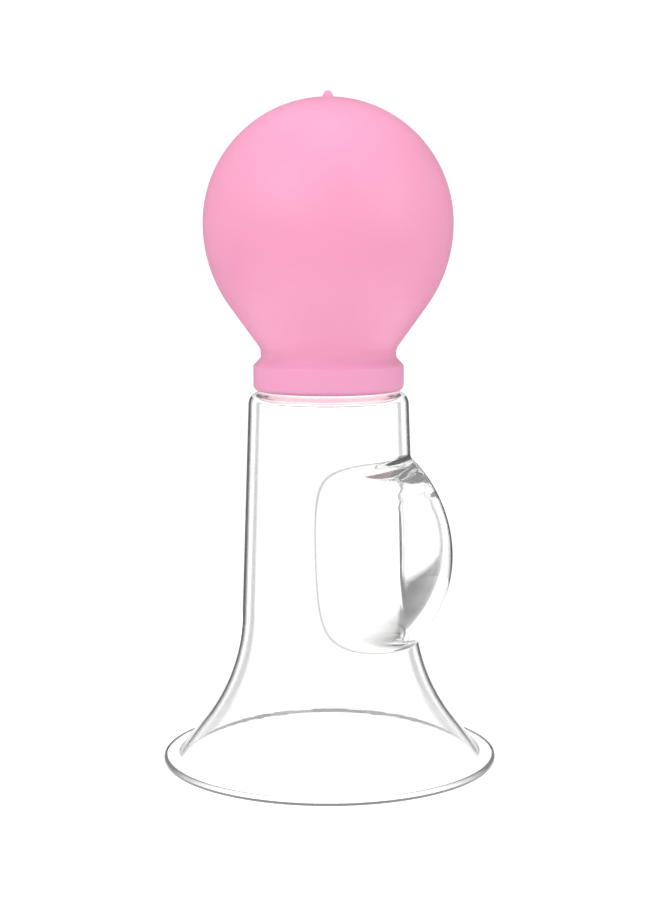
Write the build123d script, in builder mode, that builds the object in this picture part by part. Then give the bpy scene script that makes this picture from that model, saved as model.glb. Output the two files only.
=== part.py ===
from build123d import *

# Clear glass suction cup with a side reservoir and a rubber squeeze bulb, in millimetres.
#
# The origin is the centre of the mouth, on the surface that the cup stands on. +Z runs up the
# barrel to the bulb, and +X points at the reservoir. The bell and the reservoir are glass. The
# bulb is one rubber moulding, divided into collar, throat and dome so that a squeeze can move it.

import os
from math import cos, radians, sin, tan

# Glass bell, outside sizes. The wall is even and its two ends are melted round.
wall = 1.6
mouth_radius = 37.5
barrel_radius_top = 17.7
barrel_slope = 0.035
skirt_foot_radius = 35.1
skirt_slope = 0.79
neck_radius = 13.0
neck_top = 92.0
shoulder_top = 83.1

# Bends of the bell, along the middle of its wall.
neck_root_bend = 1.2
shoulder_bend = 1.9
flare_bend = 42.8
lip_bend = 1.6

# Side reservoir and its hollow: each a stack of level circles that bows out from the barrel.
# A low power swells out at once above or below the bubble's end, and a high one tapers to it.
reservoir_middle = 47.6
reservoir_half_height = 21.9
reservoir_centre = 13.0
reservoir_radius = 16.9
reservoir_power = 0.7
hollow_middle = 49.4
hollow_above = 16.7
hollow_below = 22.0
hollow_centre = 12.8
hollow_radius = 15.2
hollow_power_above = 0.5
hollow_power_below = 0.8
bow_start = 2.5
radius_loss = 2.4

# Squeeze bulb.
rubber = 2.0
fit_clearance = 0.05
collar_radius = 16.65
collar_top = 89.0
collar_lead_in = 0.8
throat_radius = 15.0
throat_bottom = 90.7
cone_angle = 35.8
globe_radius = 27.5
globe_centre = 120.0
globe_lower_radius = 31.0
nub_radius = 1.3
nub_top = 148.9
collar_cut = 93.4
dome_cut = 110.0

half_wall = wall / 2
barrel_middle = barrel_radius_top - half_wall
globe_top = globe_centre + globe_radius


def bubble(middle, above, below, widest_centre, widest_radius, power_above, power_below):
    """A solid of level circles, widest and furthest out at its middle, tapering up and down."""
    with BuildPart() as solid:
        for share in (-1, -0.95, -0.85, -0.7, -0.5, -0.25, 0, 0.25, 0.5, 0.7, 0.85, 0.95, 1):
            if share > 0:
                height = middle + share * above
                bow = (1 - share**2) ** power_above
            else:
                height = middle + share * below
                bow = (1 - share**2) ** power_below
            centre = bow_start + (widest_centre - bow_start) * bow
            with BuildSketch(Plane((centre, 0, height))):
                Circle(widest_radius - radius_loss * share**2)
        loft()
    return solid.part


def globe_line(shrink, foot_radius):
    """Draws the globe's half section moved inwards by shrink; returns the cone's two ends."""
    angle = radians(cone_angle)
    lower_centre = (globe_radius - globe_lower_radius, globe_centre)
    lower_radius = globe_lower_radius - shrink
    shoulder = (lower_centre[0] + lower_radius * cos(angle), globe_centre - lower_radius * sin(angle))
    foot = (foot_radius, shoulder[1] - (shoulder[0] - foot_radius) / tan(angle))
    CenterArc(lower_centre, lower_radius, -cone_angle, cone_angle)
    CenterArc((0, globe_centre), globe_radius - shrink, 0, 90)
    return foot, shoulder


# The glass blank: neck, shoulder, barrel, flare and lip, before the side is opened.
with BuildPart() as blank:
    with BuildSketch(Plane.XZ):
        with BuildLine():
            # The straight barrel and the straight skirt, carried on, would meet here.
            skirt_foot = skirt_foot_radius - half_wall
            drop = barrel_middle + barrel_slope * shoulder_top - skirt_foot
            flare_z = drop / (barrel_slope - skirt_slope)
            flare_radius = skirt_foot - skirt_slope * flare_z
            spine = FilletPolyline(
                (neck_radius - half_wall, neck_top - half_wall),
                (neck_radius - half_wall, shoulder_top - half_wall),
                (barrel_middle, shoulder_top - half_wall),
                (flare_radius, flare_z),
                (skirt_foot - skirt_slope * half_wall, half_wall),
                (mouth_radius - half_wall, half_wall),
                radius=[neck_root_bend, shoulder_bend, flare_bend, lip_bend],
            )
            offset(spine, amount=half_wall, side=Side.BOTH, mode=Mode.REPLACE)
        make_face()
    revolve(axis=Axis.Z)

reservoir_blank = bubble(
    reservoir_middle,
    reservoir_half_height,
    reservoir_half_height,
    reservoir_centre,
    reservoir_radius,
    reservoir_power,
    reservoir_power,
)
hollow = bubble(
    hollow_middle,
    hollow_above,
    hollow_below,
    hollow_centre,
    hollow_radius,
    hollow_power_above,
    hollow_power_below,
)

# The glass bell, with its barrel opened into the reservoir.
with BuildPart() as glass_bell:
    add(blank.part)
    add(hollow, mode=Mode.SUBTRACT)
glass_bell.part.label = "glass_bell"

# The side reservoir: a blown bubble sealed to the outside of the barrel.
with BuildPart() as side_reservoir:
    add(reservoir_blank)
    with BuildSketch(Plane.XZ):
        with BuildLine():
            Polyline(
                (0, 0),
                (barrel_middle + barrel_slope * shoulder_top, 0),
                (barrel_middle, shoulder_top),
                (0, shoulder_top),
                close=True,
            )
        make_face()
    revolve(axis=Axis.Z, mode=Mode.SUBTRACT)
    add(blank.part, mode=Mode.SUBTRACT)
    add(hollow, mode=Mode.SUBTRACT)
side_reservoir.part.label = "side_reservoir"

# The whole bulb, which the collar, the throat and the dome are cut from.
with BuildPart() as bulb:
    with BuildSketch(Plane.XZ):
        with BuildLine():
            foot, shoulder = globe_line(0, throat_radius)
            FilletPolyline(
                (0, shoulder_top),
                (collar_radius, shoulder_top),
                (collar_radius, collar_top),
                (throat_radius, throat_bottom),
                foot,
                shoulder,
                radius=[1.5, 0.6, 0.8, 2.5],
            )
            Line((0, globe_top), (0, shoulder_top))
        make_face()
    revolve(axis=Axis.Z)
    with BuildSketch(Plane.XY.offset(globe_top - rubber / 2)):
        Circle(nub_radius)
    extrude(amount=nub_top - globe_top + rubber / 2)
    fillet(faces().sort_by(Axis.Z)[-1].edges(), nub_radius / 2)
    with BuildSketch(Plane.XZ):
        with BuildLine():
            bore = neck_radius + fit_clearance
            foot, shoulder = globe_line(rubber, bore)
            Polyline(
                (0, shoulder_top),
                (bore + collar_lead_in, shoulder_top),
                (bore, shoulder_top + collar_lead_in),
                foot,
                shoulder,
            )
            Line((0, globe_top - rubber), (0, shoulder_top))
        make_face()
    revolve(axis=Axis.Z, mode=Mode.SUBTRACT)

# The collar grips the neck and stands on the shoulder.
with BuildPart() as bulb_collar:
    add(bulb.part)
    split(bisect_by=Plane.XY.offset(collar_cut), keep=Keep.BOTTOM)
bulb_collar.part.label = "bulb_collar"

# The throat is the part of the wall that gives when the dome is pressed.
with BuildPart() as bulb_throat:
    add(bulb.part)
    split(bisect_by=Plane.XY.offset(collar_cut), keep=Keep.TOP)
    split(bisect_by=Plane.XY.offset(dome_cut), keep=Keep.BOTTOM)
bulb_throat.part.label = "bulb_throat"

# The dome goes down whole.
with BuildPart() as bulb_dome:
    add(bulb.part)
    split(bisect_by=Plane.XY.offset(dome_cut), keep=Keep.TOP)
bulb_dome.part.label = "bulb_dome"

os.makedirs("parts", exist_ok=True)
for piece in (glass_bell, side_reservoir, bulb_collar, bulb_throat, bulb_dome):
    export_step(piece.part, f"parts/{piece.part.label}.step")
    print(piece.part.label, round(piece.part.volume), piece.part.bounding_box())
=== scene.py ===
from math import atan2, cos, hypot, pi, radians, sin, sqrt, tan

import bmesh
import bpy
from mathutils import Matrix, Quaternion, Vector


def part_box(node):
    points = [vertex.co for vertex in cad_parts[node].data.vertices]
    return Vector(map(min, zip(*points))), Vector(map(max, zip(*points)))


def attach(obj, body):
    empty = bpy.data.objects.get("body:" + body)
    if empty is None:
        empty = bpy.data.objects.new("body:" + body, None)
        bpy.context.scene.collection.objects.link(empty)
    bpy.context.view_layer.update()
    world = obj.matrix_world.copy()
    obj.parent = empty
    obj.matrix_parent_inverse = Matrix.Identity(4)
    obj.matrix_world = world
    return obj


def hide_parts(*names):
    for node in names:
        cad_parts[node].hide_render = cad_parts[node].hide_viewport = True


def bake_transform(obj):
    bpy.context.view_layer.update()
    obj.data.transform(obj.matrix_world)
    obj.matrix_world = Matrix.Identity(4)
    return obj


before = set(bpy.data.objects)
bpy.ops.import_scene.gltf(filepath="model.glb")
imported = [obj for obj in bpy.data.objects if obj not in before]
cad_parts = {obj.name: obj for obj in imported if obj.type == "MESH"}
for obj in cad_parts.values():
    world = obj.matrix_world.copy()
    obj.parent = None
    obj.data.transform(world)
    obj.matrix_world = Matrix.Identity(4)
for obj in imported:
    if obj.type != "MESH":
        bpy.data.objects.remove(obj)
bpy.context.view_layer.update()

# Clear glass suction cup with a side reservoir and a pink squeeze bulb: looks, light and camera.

MM = 0.001

# Sizes in millimetres. The frame's boxes give the ones that the CAD model decides.
bell_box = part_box("glass_bell")
dome_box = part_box("bulb_dome")
collar_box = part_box("bulb_collar")
mouth_radius = bell_box[1].x / MM
neck_top = bell_box[1].z / MM
shoulder_top = collar_box[0].z / MM
collar_radius = collar_box[1].x / MM
globe_radius = dome_box[1].x / MM
nub_top = dome_box[1].z / MM
wall = 1.6
half_wall = wall / 2
barrel_radius_top = 17.7
barrel_slope = 0.035
skirt_foot_radius = 35.1
skirt_slope = 0.79
neck_radius = 13.0
globe_centre = 120.0
globe_lower_radius = 31.0
rubber = 2.0

# The bends of the bell, from the neck's root by the shoulder and the flare to the lip.
bell_bends = [1.2, 1.9, 42.8, 1.6]

# The reservoir and its hollow are stacks of level circles. A low power ends a stack bluntly.
reservoir_shape = dict(
    middle=47.6,
    above=21.9,
    below=21.9,
    widest_centre=13.0,
    widest_radius=16.9,
    power_above=0.7,
    power_below=0.7,
)
hollow_shape = dict(
    middle=49.4,
    above=16.7,
    below=22.0,
    widest_centre=12.8,
    widest_radius=15.2,
    power_above=0.5,
    power_below=0.8,
)
bow_start = 2.5
radius_loss = 2.4
# How far the reservoir's seam and the hollow's mouth are rounded over.
seam_melt = 0.5
mouth_melt = 0.8


# ---------------------------------------------------------------- outlines

def arc_points(centre, radius, start, end, count):
    """Points on an arc, both ends included; angles in degrees."""
    angles = [radians(start + (end - start) * i / count) for i in range(count + 1)]
    return [(centre[0] + radius * cos(a), centre[1] + radius * sin(a)) for a in angles]


def rounded(corners, radii, per_degree=0.25, step=1.0):
    """An open line through the corners, with each inner corner rounded and long runs divided."""
    marks = [corners[0]]
    for (a, b, c), radius in zip(zip(corners, corners[1:], corners[2:]), radii):
        before = atan2(b[1] - a[1], b[0] - a[0])
        after = atan2(c[1] - b[1], c[0] - b[0])
        turn = (after - before + pi) % (2 * pi) - pi
        reach = radius * tan(abs(turn) / 2)
        first = (b[0] - reach * cos(before), b[1] - reach * sin(before))
        side = 1 if turn > 0 else -1
        centre = (first[0] - side * radius * sin(before), first[1] + side * radius * cos(before))
        count = max(4, round(abs(turn) * 180 / pi * per_degree))
        for i in range(count + 1):
            angle = before - side * pi / 2 + turn * i / count
            marks.append((centre[0] + radius * cos(angle), centre[1] + radius * sin(angle)))
    marks.append(corners[-1])
    line = [marks[0]]
    for a, b in zip(marks, marks[1:]):
        length = hypot(b[0] - a[0], b[1] - a[1])
        if length < 1e-9:
            continue
        pieces = max(1, round(length / step))
        for i in range(1, pieces + 1):
            line.append((a[0] + (b[0] - a[0]) * i / pieces, a[1] + (b[1] - a[1]) * i / pieces))
    return line


def beside(line, distance):
    """The line moved sideways by distance, to its left, point by point."""
    moved = []
    for i, (x, y) in enumerate(line):
        a = line[max(i - 1, 0)]
        b = line[min(i + 1, len(line) - 1)]
        length = hypot(b[0] - a[0], b[1] - a[1])
        moved.append((x - distance * (b[1] - a[1]) / length, y + distance * (b[0] - a[0]) / length))
    return moved


def smooth_max(a, b, width):
    """The larger of two numbers, rounded where they are within width of each other."""
    share = max(0.0, min(1.0, 0.5 + 0.5 * (a - b) / width))
    return b + (a - b) * share + width * share * (1 - share)


# ---------------------------------------------------------------- glass

def glass_middle():
    """The middle of the glass wall, from the neck's top down to the lip's edge."""
    barrel_top = barrel_radius_top - half_wall
    skirt_foot = skirt_foot_radius - half_wall
    neck = neck_radius - half_wall
    flare_z = (barrel_top + barrel_slope * shoulder_top - skirt_foot) / (barrel_slope - skirt_slope)
    corners = [
        (neck, neck_top - half_wall),
        (neck, shoulder_top - half_wall),
        (barrel_top, shoulder_top - half_wall),
        (skirt_foot - skirt_slope * flare_z, flare_z),
        (skirt_foot - skirt_slope * half_wall, half_wall),
        (mouth_radius - half_wall, half_wall),
    ]
    return rounded(corners, bell_bends, per_degree=0.5, step=0.5)


def bubble_radius(angle, z, middle, above, below, widest_centre, widest_radius, power_above, power_below):
    """How far a bubble of level circles reaches from the barrel's axis at that angle and height."""
    share = (z - middle) / (above if z > middle else below)
    if abs(share) >= 1:
        return 0
    power = power_above if z > middle else power_below
    centre = bow_start + (widest_centre - bow_start) * (1 - share**2) ** power
    # Held a little over the centre's offset, so that a level circle is met at every angle.
    radius = max(widest_radius - radius_loss * share**2, abs(centre * sin(angle)) + 0.01)
    return centre * cos(angle) + sqrt(radius**2 - (centre * sin(angle)) ** 2)


def reservoir_rise(angle, z, radius):
    """How far the reservoir's outer wall stands proud of the plain bell, which has radius there."""
    return bubble_radius(angle, z, **reservoir_shape) - radius


def hollow_depth(angle, z, radius):
    """How far the reservoir's hollow reaches beyond the barrel's bore, which has radius there."""
    return bubble_radius(angle, z, **hollow_shape) - radius


def reservoir_outside(angle, z, radius):
    """The outer wall's radius at that angle and height, where the plain bell has radius."""
    return smooth_max(radius + reservoir_rise(angle, z, radius), radius, seam_melt)


# The ripple under the hollow's roof: its depth, and the heights over which it grows to that.
ripple_depth = 0.12
ripple_start = 57
ripple_growth = 6


def ripple(angle, z):
    """The slight waviness that blowing leaves towards the hollow's roof."""
    depth = ripple_depth * max(0, min(1, (z - ripple_start) / ripple_growth))
    return depth * (sin(2.1 * z + 6 * angle) + 0.6 * sin(3.3 * z - 11 * angle + 1))


def reservoir_inside(angle, z, radius):
    """The inner wall's radius at that angle and height."""
    return smooth_max(radius + hollow_depth(angle, z, radius) + ripple(angle, z), radius, mouth_melt)


def glass_angles():
    """Angles round the barrel, closer together over the reservoir than behind it."""
    fine, coarse = 200, 90
    reach = radians(80)
    angles = [-reach + 2 * reach * i / fine for i in range(fine)]
    angles += [reach + (2 * pi - 2 * reach) * i / coarse for i in range(coarse)]
    return angles


def make_mesh(name, points, faces):
    """A smooth-shaded mesh object, from points in millimetres."""
    mesh = bpy.data.meshes.new(name)
    mesh.from_pydata([(x * MM, y * MM, z * MM) for x, y, z in points], [], faces)
    shell = bmesh.new()
    shell.from_mesh(mesh)
    bmesh.ops.recalc_face_normals(shell, faces=shell.faces)
    shell.to_mesh(mesh)
    shell.free()
    mesh.shade_smooth()
    piece = bpy.data.objects.new(name, mesh)
    bpy.context.scene.collection.objects.link(piece)
    return piece


def ring_faces(rows, count, closed):
    """Quads between neighbouring rings of count points each."""
    faces = []
    for row in range(rows if closed else rows - 1):
        upper, lower = row * count, (row + 1) % rows * count
        for i in range(count):
            j = (i + 1) % count
            faces.append((upper + i, lower + i, lower + j, upper + j))
    return faces


# How each stretch of the wall looks: where its painted edge shade starts (0 face on, 1 at the
# outline), the square root of the level that the painted shade comes down to, and how solid the
# wall is face on and at the outline. The shade is painted into the glass's colour where the eye
# grazes it, in place of the dark edges that refraction and reflection give.
outside_tone = (0.66, 0.1, 1.0, 1.0)
inside_tone = (0.6, 0.28, 1.0, 1.0)
bubble_tone = (0.73, 0.15, 1.0, 1.0)
bubble_roof_tone = (0.75, 0.3, 0.9, 0.9)
# The hollow's foot is darkened deeply, a painted shade in place of the dark that refraction shows through
# the thick glass there.
hollow_foot_painted_shade = (0.08, 0.03, 1.0, 1.0)
neck_tone = (0.85, 0.98, 1.0, 1.0)
# The last stretch above the lip is nearly invisible face on, as clear thin glass is.
inner_foot_tone = (0.9, 0.7, 0.1, 0.1)
outer_foot_tone = (0.66, 0.1, 0.1, 0.8)
lip_tone = (0.2, 0.17, 0.1, 1.0)
# Underneath the lip the glass is darkened in every view, a painted shade where the rim meets the table.
lip_under_painted_shade = (-0.3, 0.12, 0.95, 0.95)
# How far the painted edge shade takes to reach its full depth, and how far it takes at the hollow's foot.
edge_spread = 0.12
hollow_foot_shade_spread = 0.19
# Level stretches, which the eye grazes in every view from the side, get their painted edge shade later by
# this much.
level_wall_relief = 0.27

# Heights at which the tones change, and the length over which they do.
neck_tone_depth = 0.9
foot_height = 2.8
outer_roof_start, outer_roof_length = 63, 3
inner_roof_start, inner_roof_length = 59, 3
hollow_foot_start, hollow_foot_length = 47, 9
# A dark line is painted along the hollow's mouth, a painted shade on one side alone in place of the outline
# its edge shows, from this angle round.
mouth_line_angle = 0.2
# Underneath the lip, the wall's normal leans down by more than this.
under_lip = -0.1


def bell_radius(z):
    """The plain barrel's outside radius."""
    return barrel_radius_top + barrel_slope * (shoulder_top - z)


def mixed(a, b, share):
    """Between two tuples, with share held to 0..1."""
    share = min(1, max(0, share))
    return tuple(x + (y - x) * share for x, y in zip(a, b))


def outer_wall_tone(place):
    """The outer wall's tone at that place, which changes towards the reservoir's roof."""
    angle = atan2(place.y, place.x)
    if reservoir_rise(angle, place.z, bell_radius(place.z)) < 0:
        return outside_tone
    return mixed(bubble_tone, bubble_roof_tone, (place.z - outer_roof_start) / outer_roof_length)


def inner_wall_tone(place):
    """The inner wall's tone and spread, which change up and down the reservoir's hollow, with deep painted
    shade towards its foot.
    """
    angle = atan2(place.y, place.x)
    usual = inside_tone + (edge_spread,)
    if hollow_depth(angle, place.z, bell_radius(place.z) - wall) < 0:
        return usual
    if place.z > hollow_foot_start:
        roof = bubble_roof_tone + (edge_spread,)
        return mixed(usual, roof, (place.z - inner_roof_start) / inner_roof_length)
    foot = hollow_foot_painted_shade + (hollow_foot_shade_spread,)
    return mixed(usual, foot, (hollow_foot_start - place.z) / hollow_foot_length)


def add_attribute(piece, name, kind, domain, field, values):
    """A named mesh attribute that the glass material reads."""
    piece.data.attributes.new(name, kind, domain).data.foreach_set(field, values)


def make_glass():
    """The bell and its reservoir: rings down the outside, round the lip, up the bore, round the top."""
    middle = glass_middle()
    outer = beside(middle, half_wall)
    inner = beside(middle, -half_wall)[::-1]
    lip = arc_points(middle[-1], half_wall, 90, -90, 10)[1:-1]
    top = arc_points(middle[0], half_wall, 180, 0, 10)[1:-1]
    angles = glass_angles()
    rings = [[(reservoir_outside(a, z, r), z) for a in angles] for r, z in outer]
    rings += [[(r, z) for a in angles] for r, z in lip]
    rings += [[(reservoir_inside(a, z, r), z) for a in angles] for r, z in inner]
    rings += [[(r, z) for a in angles] for r, z in top]
    points = [(r * cos(a), r * sin(a), z) for ring in rings for a, (r, z) in zip(angles, ring)]
    piece = make_mesh("glass_cup", points, ring_faces(len(rings), len(angles), closed=True))

    tones = []
    spreads = []
    for index, face in enumerate(piece.data.polygons):
        row = index // len(angles)
        place = face.center / MM
        spread = edge_spread
        if place.z > shoulder_top - neck_tone_depth:
            tone = neck_tone
        elif len(outer) - 1 <= row < len(outer) + len(lip):
            tone = lip_under_painted_shade if face.normal.z < under_lip else lip_tone
        elif place.z < foot_height:
            tone = outer_foot_tone if row < len(outer) else inner_foot_tone
        elif row < len(outer):
            tone = outer_wall_tone(place)
        else:
            *tone, spread = inner_wall_tone(place)
        start, level, face_on, edge_on = tone
        tones += [start + level_wall_relief * face.normal.z ** 4, level, face_on, edge_on]
        spreads.append(spread)
    add_attribute(piece, "wall_tone", "FLOAT_COLOR", "FACE", "color", tones)
    add_attribute(piece, "edge_spread", "FLOAT", "FACE", "value", spreads)

    # Each seam runs where its attribute is zero. Elsewhere on the glass the attribute is far from it.
    nowhere = -1
    rises = [reservoir_rise(a, z, r) for r, z in outer for a in angles]
    rises += [nowhere] * (len(points) - len(rises))
    add_attribute(piece, "weld_line", "FLOAT", "POINT", "value", rises)
    # The hollow's mouth gets its painted shade line on one side alone.
    depths = [nowhere] * ((len(outer) + len(lip)) * len(angles))
    depths += [hollow_depth(a, z, r) if a > mouth_line_angle else nowhere for r, z in inner for a in angles]
    depths += [nowhere] * (len(points) - len(depths))
    add_attribute(piece, "mouth_line", "FLOAT", "POINT", "value", depths)
    return piece


# ---------------------------------------------------------------- bulb

# The bore bites slightly into the neck, as stretched rubber does.
bore = 12.98
lead_in = 0.8
collar_top = 89.0
throat_radius = 15.0
throat_bottom = 90.7
cone_angle = 35.8
lower_centre = globe_radius - globe_lower_radius
# The collar's foot stands this far off the glass shoulder.
seat_gap = 0.2
seat = shoulder_top + seat_gap
# The bends from the collar's foot up to the globe, outside and inside.
outside_bends = [1.5, 0.6, 0.8, 2.5]
inside_bends = [0.3, 2.0]
# The moulding nub on top: its radius, where it starts, how far it spreads and how it is rounded in.
nub_radius = 1.3
nub_foot = 146.6
nub_spread = 2.2
nub_melt = 0.35
nub_rings = 24
# Points in each ring of the bulb.
bulb_points = 160


def nub_line(radius):
    """The height of the bulb's outside near its top, where the moulding nub stands."""
    globe = globe_centre + sqrt(globe_radius**2 - radius**2)
    nub = nub_foot + (nub_top - nub_foot) * sqrt(max(0, 1 - (radius / nub_radius) ** 2))
    return smooth_max(globe, nub, nub_melt)


def cone_ends(shrink, foot_radius):
    """The foot and the shoulder of the cone under the globe, moved inwards by shrink."""
    angle = radians(cone_angle)
    radius = globe_lower_radius - shrink
    shoulder = (lower_centre + radius * cos(angle), globe_centre - radius * sin(angle))
    foot = (foot_radius, shoulder[1] - (shoulder[0] - foot_radius) / tan(angle))
    return foot, shoulder


def bulb_outside():
    """The half section's outside, from the edge of the collar's foot up to the nub's tip."""
    foot, shoulder = cone_ends(0, throat_radius)
    corners = [
        (bore + lead_in, seat),
        (collar_radius, seat),
        (collar_radius, collar_top),
        (throat_radius, throat_bottom),
        foot,
        shoulder,
    ]
    line = rounded(corners, outside_bends, per_degree=0.12, step=0.9)
    line += arc_points((lower_centre, globe_centre), globe_lower_radius, -cone_angle, 0, 24)[1:]
    line += arc_points((0, globe_centre), globe_radius, 0, 85, 60)[1:]
    radii = [nub_spread * (1 - i / nub_rings) for i in range(nub_rings + 1)]
    return line + [(radius, nub_line(radius)) for radius in radii]


def bulb_inside():
    """The half section's inside, from the same edge up to the top of the hollow."""
    foot, shoulder = cone_ends(rubber, bore)
    corners = [(bore + lead_in, seat), (bore, shoulder_top + lead_in), foot, shoulder]
    line = rounded(corners, inside_bends, per_degree=0.12, step=1.5)
    line += arc_points((lower_centre, globe_centre), globe_lower_radius - rubber, -cone_angle, 0, 16)[1:]
    return line + arc_points((0, globe_centre), globe_radius - rubber, 0, 90, 40)[1:]


def make_bulb():
    """The whole bulb: rings down the hollow, round the collar's foot and up the outside."""
    outside = bulb_outside()
    inside = bulb_inside()
    rings = inside[1:-1][::-1] + outside[:-1]
    turns = [2 * pi * i / bulb_points for i in range(bulb_points)]
    points = [(r * cos(a), r * sin(a), z) for r, z in rings for a in turns]
    faces = ring_faces(len(rings), bulb_points, closed=False)
    last_ring = (len(rings) - 1) * bulb_points
    hollow_top = len(points)
    nub_tip = hollow_top + 1
    points += [(0, 0, inside[-1][1]), (0, 0, outside[-1][1])]
    for i in range(bulb_points):
        j = (i + 1) % bulb_points
        faces.append((hollow_top, i, j))
        faces.append((nub_tip, last_ring + j, last_ring + i))
    piece = make_mesh("squeeze_bulb", points, faces)

    # The hollow and the collar's foot take material 1, a paler copy of the rubber with a painted glow.
    inner_faces = (len(inside) - 2) * bulb_points
    foot_top = (seat + 0.1) * MM
    foot_radius = (collar_radius - 0.5) * MM
    for index, face in enumerate(piece.data.polygons):
        under = face.center.z < foot_top and face.center.xy.length < foot_radius
        inner_cap = index >= last_ring and (index - last_ring) % 2 == 0
        face.material_index = int(index < inner_faces or inner_cap or under)
    return piece


# ---------------------------------------------------------------- materials

# The dark line along each seam, the weld's and the painted shade line at the hollow's mouth: how wide it is
# to each side, and how light its middle stays.
weld_width, weld_level = 0.6, 0.12
mouth_width, mouth_level = 0.5, 0.01


def new_material(name):
    """A material with nodes, and its nodes and links."""
    material = bpy.data.materials.new(name)
    material.use_nodes = True
    return material, material.node_tree.nodes, material.node_tree.links


def set_ramp(node, stops):
    """Grey stops (place, level) on a colour ramp."""
    ramp = node.color_ramp
    while len(ramp.elements) < len(stops):
        ramp.elements.new(0.5)
    for element, (place, level) in zip(ramp.elements, stops):
        element.position = place
        element.color = (level, level, level, 1)


def mesh_attribute(nodes, name):
    """A node that reads the mesh attribute of that name."""
    node = nodes.new("ShaderNodeAttribute")
    node.attribute_name = name
    return node


def product(nodes, links, first, second):
    """The two values multiplied."""
    node = nodes.new("ShaderNodeMath")
    node.operation = "MULTIPLY"
    links.new(first, node.inputs[0])
    links.new(second, node.inputs[1])
    return node.outputs["Value"]


def seam_tint(nodes, links, line, width, level):
    """White, down to level along the line where the named mesh attribute passes through zero."""
    away = nodes.new("ShaderNodeMath")
    away.operation = "ABSOLUTE"
    links.new(mesh_attribute(nodes, line).outputs["Fac"], away.inputs[0])
    tint = nodes.new("ShaderNodeMapRange")
    tint.inputs["From Max"].default_value = width
    tint.inputs["To Min"].default_value = level
    links.new(away.outputs["Value"], tint.inputs["Value"])
    return tint.outputs["Result"]


def glass_material():
    """Clear soda glass, with painted shade where the eye grazes it and a faint painted glow, and darker
    where there is much of it to see through.
    """
    material, nodes, links = new_material("clear_glass")
    shader = nodes["Principled BSDF"]
    shader.inputs["Roughness"].default_value = 0.0
    shader.inputs["IOR"].default_value = 1.47
    shader.inputs["Transmission Weight"].default_value = 1.0
    # A faint painted glow: the glass gives off a little white light of its own, though it is no lamp.
    shader.inputs["Emission Color"].default_value = (1, 1, 1, 1)
    shader.inputs["Emission Strength"].default_value = 0.04
    facing = nodes.new("ShaderNodeLayerWeight")
    facing.inputs["Blend"].default_value = 0.5
    tone = mesh_attribute(nodes, "wall_tone")
    stretch = nodes.new("ShaderNodeSeparateColor")
    links.new(tone.outputs["Color"], stretch.inputs["Color"])
    end = nodes.new("ShaderNodeMath")
    links.new(stretch.outputs["Red"], end.inputs[0])
    links.new(mesh_attribute(nodes, "edge_spread").outputs["Fac"], end.inputs[1])
    edge = nodes.new("ShaderNodeMapRange")
    edge.inputs["To Min"].default_value = 0.99
    links.new(facing.outputs["Facing"], edge.inputs["Value"])
    links.new(stretch.outputs["Red"], edge.inputs["From Min"])
    links.new(end.outputs["Value"], edge.inputs["From Max"])
    links.new(stretch.outputs["Green"], edge.inputs["To Max"])
    # Squared, so that the painted edge shade sets in gently and ends deep.
    painted_edge_shade = product(nodes, links, edge.outputs["Result"], edge.outputs["Result"])
    weld = seam_tint(nodes, links, "weld_line", weld_width, weld_level)
    mouth = seam_tint(nodes, links, "mouth_line", mouth_width, mouth_level)
    tint = product(nodes, links, painted_edge_shade, product(nodes, links, weld, mouth))
    links.new(tint, shader.inputs["Base Color"])
    solid = nodes.new("ShaderNodeMapRange")
    solid.inputs["From Min"].default_value = 0.25
    solid.inputs["From Max"].default_value = 0.6
    links.new(facing.outputs["Facing"], solid.inputs["Value"])
    links.new(stretch.outputs["Blue"], solid.inputs["To Min"])
    links.new(tone.outputs["Alpha"], solid.inputs["To Max"])
    links.new(solid.outputs["Result"], shader.inputs["Alpha"])
    thickness = nodes.new("ShaderNodeVolumeAbsorption")
    thickness.inputs["Color"].default_value = (0.50, 0.505, 0.49, 1)
    thickness.inputs["Density"].default_value = 95
    links.new(thickness.outputs["Volume"], nodes["Material Output"].inputs["Volume"])
    return material


def rubber_material():
    """Satin pink rubber, a little uneven in colour, with a fine moulded grain."""
    material, nodes, links = new_material("pink_rubber")
    shader = nodes["Principled BSDF"]
    shader.inputs["Subsurface Weight"].default_value = 0.3
    shader.inputs["Subsurface Radius"].default_value = (1.0, 0.4, 0.5)
    shader.inputs["Subsurface Scale"].default_value = 0.004
    place = nodes.new("ShaderNodeTexCoord")
    patches = nodes.new("ShaderNodeTexNoise")
    patches.inputs["Scale"].default_value = 45
    patches.inputs["Detail"].default_value = 3
    links.new(place.outputs["Object"], patches.inputs["Vector"])
    shade = nodes.new("ShaderNodeMix")
    shade.data_type = "RGBA"
    shade.inputs["A"].default_value = (0.634, 0.252, 0.403, 1)
    shade.inputs["B"].default_value = (0.687, 0.292, 0.453, 1)
    links.new(patches.outputs["Fac"], shade.inputs["Factor"])
    links.new(shade.outputs["Result"], shader.inputs["Base Color"])
    grain = nodes.new("ShaderNodeTexNoise")
    grain.inputs["Scale"].default_value = 1800
    grain.inputs["Detail"].default_value = 2
    links.new(place.outputs["Object"], grain.inputs["Vector"])
    satin = nodes.new("ShaderNodeMapRange")
    satin.inputs["To Min"].default_value = 0.38
    satin.inputs["To Max"].default_value = 0.52
    links.new(patches.outputs["Fac"], satin.inputs["Value"])
    links.new(satin.outputs["Result"], shader.inputs["Roughness"])
    bump = nodes.new("ShaderNodeBump")
    bump.inputs["Strength"].default_value = 0.25
    bump.inputs["Distance"].default_value = 0.0001
    links.new(grain.outputs["Fac"], bump.inputs["Height"])
    links.new(bump.outputs["Normal"], shader.inputs["Normal"])
    return material


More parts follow.
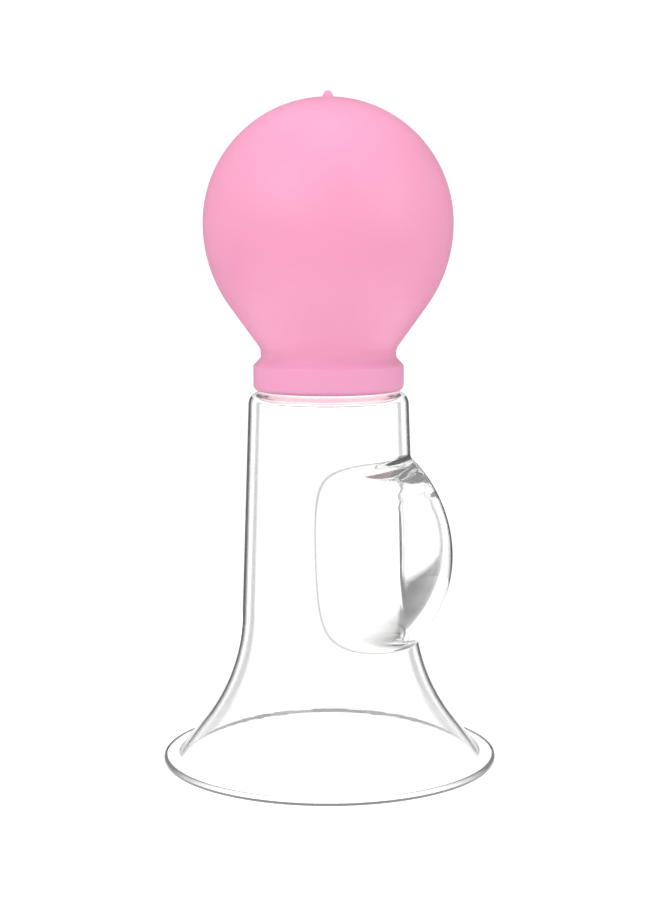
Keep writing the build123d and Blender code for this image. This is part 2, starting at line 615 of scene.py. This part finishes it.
def rubber_inside_glow_material():
    """The bulb's inner side and the collar's foot: a paler pink with a painted glow, in place of the light
    that would come through the thin wall.
    """
    material, nodes, links = new_material("pink_rubber_inside_painted_glow")
    shader = nodes["Principled BSDF"]
    # Painted light: a paler pink than the outside, and an emitted glow though this is no lamp.
    shader.inputs["Base Color"].default_value = (0.84, 0.56, 0.62, 1)
    shader.inputs["Roughness"].default_value = 0.6
    shader.inputs["Emission Color"].default_value = (1.0, 0.74, 0.8, 1)
    shader.inputs["Emission Strength"].default_value = 0.8
    return material


# ---------------------------------------------------------------- pieces

glass = make_glass()
glass.data.materials.append(glass_material())
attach(glass, "glass")
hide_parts("glass_bell", "side_reservoir")

bulb = make_bulb()
bulb.data.materials.append(rubber_material())
bulb.data.materials.append(rubber_inside_glow_material())
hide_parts("bulb_collar", "bulb_throat", "bulb_dome")
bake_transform(bulb)

# ---------------------------------------------------------------- studio

camera_azimuth = radians(38)
camera_distance = 0.41
camera_height = 0.12
camera_roll = radians(-0.15)
# The camera aims at this height, and this far to the right of the cup's axis.
aim_height = 0.07
aim_aside = 0.00028
# The soft boxes point here.
lit_point = (0, 0, 0.1)
table_radius = 0.16
# How bright the table and the background are to the eye. A little over 1 keeps them pure white.
white = 1.1

# The surround as the glass shows it by refraction: (degrees round from behind the cup, level).
through_stops = [(-180, 1.0), (-110, 0.8), (-60, 1.0), (60, 1.0), (110, 0.8), (180, 1.0)]
# Its level against the upward part of the direction, from straight down to straight up.
through_heights = [(-1.0, 1.0), (0.5, 1.0), (0.8, 0.7), (1.0, 0.7)]
# The surround as polished surfaces mirror it: dark on every side, which draws the glass's edges.
mirror_stops = [(-180, 0.12), (180, 0.12)]
mirror_heights = [(-1.0, 1.0), (1.0, 1.0)]
# The surround as it lights matt surfaces: stronger from above.
light_stops = [(-180, 1.0), (180, 1.0)]
light_heights = [(-1.0, 0.45), (0.0, 0.85), (1.0, 1.0)]
mirror_strength = 1.0
through_strength = 1.65
light_strength = 1.25


def surround(nodes, links, direction, stops, heights, strength):
    """A background whose level follows the direction's bearing and its height."""
    angle = nodes.new("ShaderNodeMath")
    angle.operation = "ARCTAN2"
    links.new(direction.outputs["X"], angle.inputs[0])
    links.new(direction.outputs["Y"], angle.inputs[1])
    around = nodes.new("ShaderNodeMapRange")
    around.inputs["From Min"].default_value = -pi
    around.inputs["From Max"].default_value = pi
    links.new(angle.outputs["Value"], around.inputs["Value"])
    bearing = nodes.new("ShaderNodeValToRGB")
    set_ramp(bearing, [((turn + 180) / 360, level) for turn, level in stops])
    links.new(around.outputs["Result"], bearing.inputs["Fac"])
    height = nodes.new("ShaderNodeMapRange")
    height.inputs["From Min"].default_value = -1
    links.new(direction.outputs["Z"], height.inputs["Value"])
    rise = nodes.new("ShaderNodeValToRGB")
    set_ramp(rise, [((up + 1) / 2, level) for up, level in heights])
    links.new(height.outputs["Result"], rise.inputs["Fac"])
    both = nodes.new("ShaderNodeMix")
    both.data_type = "RGBA"
    both.blend_type = "MULTIPLY"
    both.inputs["Factor"].default_value = 1
    links.new(bearing.outputs["Color"], both.inputs["A"])
    links.new(rise.outputs["Color"], both.inputs["B"])
    background = nodes.new("ShaderNodeBackground")
    background.inputs["Strength"].default_value = strength
    links.new(both.outputs["Result"], background.inputs["Color"])
    return background


def studio():
    """A white light table, in a surround that the eye, gloss and glass each see differently."""
    world = bpy.data.worlds.new("studio")
    bpy.context.scene.world = world
    world.use_nodes = True
    nodes, links = world.node_tree.nodes, world.node_tree.links
    nodes.clear()
    output = nodes.new("ShaderNodeOutputWorld")
    bearing = nodes.new("ShaderNodeTexCoord")
    turned = nodes.new("ShaderNodeMapping")
    turned.inputs["Rotation"].default_value = (0, 0, -camera_azimuth)
    links.new(bearing.outputs["Generated"], turned.inputs["Vector"])
    direction = nodes.new("ShaderNodeSeparateXYZ")
    links.new(turned.outputs["Vector"], direction.inputs["Vector"])
    plain = nodes.new("ShaderNodeBackground")
    plain.inputs["Color"].default_value = (1, 1, 1, 1)
    plain.inputs["Strength"].default_value = white
    mirrored = surround(nodes, links, direction, mirror_stops, mirror_heights, mirror_strength)
    through = surround(nodes, links, direction, through_stops, through_heights, through_strength)
    lighting = surround(nodes, links, direction, light_stops, light_heights, light_strength)
    ray = nodes.new("ShaderNodeLightPath")
    seen = nodes.new("ShaderNodeMixShader")
    links.new(ray.outputs["Is Camera Ray"], seen.inputs["Fac"])
    links.new(lighting.outputs["Background"], seen.inputs[1])
    links.new(plain.outputs["Background"], seen.inputs[2])
    gloss = nodes.new("ShaderNodeMixShader")
    links.new(ray.outputs["Is Glossy Ray"], gloss.inputs["Fac"])
    links.new(seen.outputs["Shader"], gloss.inputs[1])
    links.new(mirrored.outputs["Background"], gloss.inputs[2])
    glass_ray = nodes.new("ShaderNodeMixShader")
    links.new(ray.outputs["Is Transmission Ray"], glass_ray.inputs["Fac"])
    links.new(gloss.outputs["Shader"], glass_ray.inputs[1])
    links.new(through.outputs["Background"], glass_ray.inputs[2])
    links.new(glass_ray.outputs["Shader"], output.inputs["Surface"])

    bpy.ops.mesh.primitive_circle_add(vertices=128, radius=table_radius, fill_type="NGON")
    floor = bpy.context.object
    floor.name = "floor"
    material, nodes, links = new_material("light_table")
    shader = nodes["Principled BSDF"]
    shader.inputs["Base Color"].default_value = (0.35, 0.35, 0.35, 1)
    shader.inputs["Roughness"].default_value = 0.9
    shader.inputs["Emission Color"].default_value = (1, 1, 1, 1)
    shader.inputs["Emission Strength"].default_value = white
    floor.data.materials.append(material)


def beside_camera(turn, elevation, distance):
    """A place round the object, turned from the camera's side, in degrees and metres."""
    azimuth = camera_azimuth + radians(turn)
    reach = distance * cos(radians(elevation))
    return (reach * sin(azimuth), -reach * cos(azimuth), distance * sin(radians(elevation)))


def soft_box(name, place, size, power):
    """A round area light, size metres across, that points at the object and is not seen through it."""
    data = bpy.data.lights.new(name, "AREA")
    data.shape = "DISK"
    data.size = size
    data.energy = power
    light = bpy.data.objects.new(name, data)
    bpy.context.scene.collection.objects.link(light)
    light.visible_transmission = False
    light.location = place
    light.rotation_mode = "QUATERNION"
    light.rotation_quaternion = (Vector(lit_point) - Vector(place)).to_track_quat("-Z", "Y")


def main_camera():
    """The camera stands level with the bulb's middle and looks slightly down at the glass."""
    data = bpy.data.cameras.new("camera")
    camera = bpy.data.objects.new("camera", data)
    bpy.context.scene.collection.objects.link(camera)
    across, along = cos(camera_azimuth), sin(camera_azimuth)
    place = Vector((camera_distance * along, -camera_distance * across, camera_height))
    target = Vector((aim_aside * across, aim_aside * along, aim_height))
    camera.location = place
    camera.rotation_mode = "QUATERNION"
    upright = (target - place).to_track_quat("-Z", "Y")
    camera.rotation_quaternion = upright @ Quaternion((0, 0, 1), camera_roll)
    data.sensor_width = 36
    data.lens = 74.2
    data.clip_start = 0.01
    bpy.context.scene.camera = camera


studio()
soft_box("key", beside_camera(-45, 40, 0.8), 0.6, 2.2)
soft_box("fill", beside_camera(60, 25, 0.8), 0.6, 1.4)
soft_box("top", (0, 0, 0.9), 0.5, 0.8)
main_camera()
bpy.context.scene.view_settings.view_transform = "Standard"
